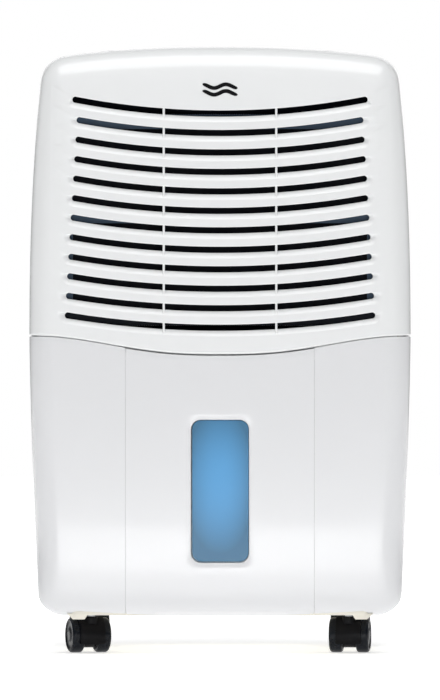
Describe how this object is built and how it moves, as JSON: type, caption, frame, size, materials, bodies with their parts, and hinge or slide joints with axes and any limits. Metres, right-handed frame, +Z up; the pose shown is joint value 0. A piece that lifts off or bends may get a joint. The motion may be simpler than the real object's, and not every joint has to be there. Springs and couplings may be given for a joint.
{
  "type": "dehumidifier",
  "caption": "Portable upright dehumidifier on casters, with curved front louvres, a pull-out water bucket with a level window, and top controls.",
  "frame": {"origin": "on the floor under the centre of the body's footprint", "axes": "+Z up, -Y towards the louvred front, +X to the right as seen from the front"},
  "size_m": [0.39, 0.28, 0.621],
  "materials": {
    "white_plastic": "glossy moulded",
    "cream_plastic": "moulded satin",
    "grey_plastic": "moulded satin",
    "bail_plastic": "moulded",
    "smoke_plastic": "smoked gloss",
    "blue_window": "translucent",
    "clear_plastic": "translucent",
    "float_foam": "moulded",
    "black_nylon": "satin nylon",
    "tread": "satin",
    "filter_slate": "moulded frame and mesh",
    "circuit_board": "solder mask",
    "fins": "finned",
    "steel": "plated",
    "copper": "drawn copper",
    "black_steel": "black enamel"
  },
  "bodies": {
    "housing": {"front_cover": "white_plastic", "lower_housing": "white_plastic", "rear_cover": "white_plastic", "base_pan": "cream_plastic", "outlet_grille": "white_plastic", "badge": "smoke_plastic", "control_panel": "smoke_plastic", "display_lens": "smoke_plastic", "control_board": "circuit_board", "float_sensor": "black_nylon", "evaporator": "fins", "condenser": "fins", "drip_tray": "grey_plastic", "fan_shroud": "grey_plastic", "fan_motor": "steel", "motor_bracket": "steel", "compressor": "black_steel", "accumulator": "copper", "suction_pipe": "copper", "discharge_pipe": "copper", "run_capacitor": "steel", "drain_spout": "grey_plastic", "cord_gland": "black_nylon"},
    "bucket": {"bucket_front": "white_plastic", "window_lens": "blue_window", "bucket_tub": "clear_plastic"},
    "bucket_bail": {"bucket_handle": "bail_plastic"},
    "float": {"float_paddle": "float_foam"},
    "air_filter": {"filter": "filter_slate"},
    "fan_wheel": {"fan": "black_nylon"},
    "plug": {"drain_plug": "black_nylon"},
    "power": {"power_button": "grey_plastic"},
    "fan_speed": {"fan_speed_button": "grey_plastic"},
    "humidity_down": {"humidity_down_button": "grey_plastic"},
    "humidity_up": {"humidity_up_button": "grey_plastic"},
    "timer": {"timer_button": "grey_plastic"},
    "front_left_caster": {"front_left_stem": "steel", "front_left_hood": "black_nylon", "front_left_axle": "steel"},
    "front_left_left_wheel_body": {"front_left_left_wheel": "tread"},
    "front_left_right_wheel_body": {"front_left_right_wheel": "tread"},
    "front_right_caster": {"front_right_stem": "steel", "front_right_hood": "black_nylon", "front_right_axle": "steel"},
    "front_right_left_wheel_body": {"front_right_left_wheel": "tread"},
    "front_right_right_wheel_body": {"front_right_right_wheel": "tread"},
    "rear_left_caster": {"rear_left_stem": "steel", "rear_left_hood": "black_nylon", "rear_left_axle": "steel"},
    "rear_left_left_wheel_body": {"rear_left_left_wheel": "tread"},
    "rear_left_right_wheel_body": {"rear_left_right_wheel": "tread"},
    "rear_right_caster": {"rear_right_stem": "steel", "rear_right_hood": "black_nylon", "rear_right_axle": "steel"},
    "rear_right_left_wheel_body": {"rear_right_left_wheel": "tread"},
    "rear_right_right_wheel_body": {"rear_right_right_wheel": "tread"}
  },
  "joints": [
    {"name": "bucket_slide", "type": "slide", "parent": "housing", "child": "bucket", "axis": [0, -1, 0], "range_m": [0, 0.2]},
    {"name": "bail_lift", "type": "hinge", "parent": "bucket", "child": "bucket_bail", "pos_m": [0, -0.058, 0.241], "axis": [-1, 0, 0], "range_deg": [0, 90]},
    {"name": "float_rise", "type": "hinge", "parent": "bucket", "child": "float", "pos_m": [0.062, 0.01, 0.221], "axis": [-1, 0, 0], "range_deg": [0, 25]},
    {"name": "filter_slide", "type": "slide", "parent": "housing", "child": "air_filter", "axis": [0, 0, -1], "range_m": [0, 0.06]},
    {"name": "fan_spin", "type": "hinge", "parent": "housing", "child": "fan_wheel", "pos_m": [0, 0, 0.452], "axis": [0, 1, 0], "continuous": true},
    {"name": "plug_pull", "type": "slide", "parent": "housing", "child": "plug", "axis": [0, 1, 0], "range_m": [0, 0.03]},
    {"name": "power_press", "type": "slide", "parent": "housing", "child": "power", "axis": [0, 0, -1], "range_m": [0, 0.0012], "stiffness_N_per_m": 700, "springref_m": -0.0004},
    {"name": "fan_speed_press", "type": "slide", "parent": "housing", "child": "fan_speed", "axis": [0, 0, -1], "range_m": [0, 0.0012], "stiffness_N_per_m": 700, "springref_m": -0.0004},
    {"name": "humidity_down_press", "type": "slide", "parent": "housing", "child": "humidity_down", "axis": [0, 0, -1], "range_m": [0, 0.0012], "stiffness_N_per_m": 700, "springref_m": -0.0004},
    {"name": "humidity_up_press", "type": "slide", "parent": "housing", "child": "humidity_up", "axis": [0, 0, -1], "range_m": [0, 0.0012], "stiffness_N_per_m": 700, "springref_m": -0.0004},
    {"name": "timer_press", "type": "slide", "parent": "housing", "child": "timer", "axis": [0, 0, -1], "range_m": [0, 0.0012], "stiffness_N_per_m": 700, "springref_m": -0.0004},
    {"name": "front_left_swivel", "type": "hinge", "parent": "housing", "child": "front_left_caster", "pos_m": [-0.132, -0.084, 0.03], "axis": [0, 0, 1], "continuous": true},
    {"name": "front_left_left_roll", "type": "hinge", "parent": "front_left_caster", "child": "front_left_left_wheel_body", "pos_m": [-0.13531, -0.07247, 0.018], "axis": [0.9613, 0.2756, 0], "continuous": true},
    {"name": "front_left_right_roll", "type": "hinge", "parent": "front_left_caster", "child": "front_left_right_wheel_body", "pos_m": [-0.13531, -0.07247, 0.018], "axis": [0.9613, 0.2756, 0], "continuous": true},
    {"name": "front_right_swivel", "type": "hinge", "parent": "housing", "child": "front_right_caster", "pos_m": [0.132, -0.084, 0.03], "axis": [0, 0, 1], "continuous": true},
    {"name": "front_right_left_roll", "type": "hinge", "parent": "front_right_caster", "child": "front_right_left_wheel_body", "pos_m": [0.13346, -0.07209, 0.018], "axis": [0.9925, -0.1219, 0], "continuous": true},
    {"name": "front_right_right_roll", "type": "hinge", "parent": "front_right_caster", "child": "front_right_right_wheel_body", "pos_m": [0.13346, -0.07209, 0.018], "axis": [0.9925, -0.1219, 0], "continuous": true},
    {"name": "rear_left_swivel", "type": "hinge", "parent": "housing", "child": "rear_left_caster", "pos_m": [-0.136, 0.084, 0.03], "axis": [0, 0, 1], "continuous": true},
    {"name": "rear_left_left_roll", "type": "hinge", "parent": "rear_left_caster", "child": "rear_left_left_wheel_body", "pos_m": [-0.13684, 0.09597, 0.018], "axis": [0.9976, 0.0698, 0], "continuous": true},
    {"name": "rear_left_right_roll", "type": "hinge", "parent": "rear_left_caster", "child": "rear_left_right_wheel_body", "pos_m": [-0.13684, 0.09597, 0.018], "axis": [0.9976, 0.0698, 0], "continuous": true},
    {"name": "rear_right_swivel", "type": "hinge", "parent": "housing", "child": "rear_right_caster", "pos_m": [0.136, 0.084, 0.03], "axis": [0, 0, 1], "continuous": true},
    {"name": "rear_right_left_roll", "type": "hinge", "parent": "rear_right_caster", "child": "rear_right_left_wheel_body", "pos_m": [0.13663, 0.09598, 0.018], "axis": [0.9986, -0.0523, 0], "continuous": true},
    {"name": "rear_right_right_roll", "type": "hinge", "parent": "rear_right_caster", "child": "rear_right_right_wheel_body", "pos_m": [0.13663, 0.09598, 0.018], "axis": [0.9986, -0.0523, 0], "continuous": true}
  ]
}
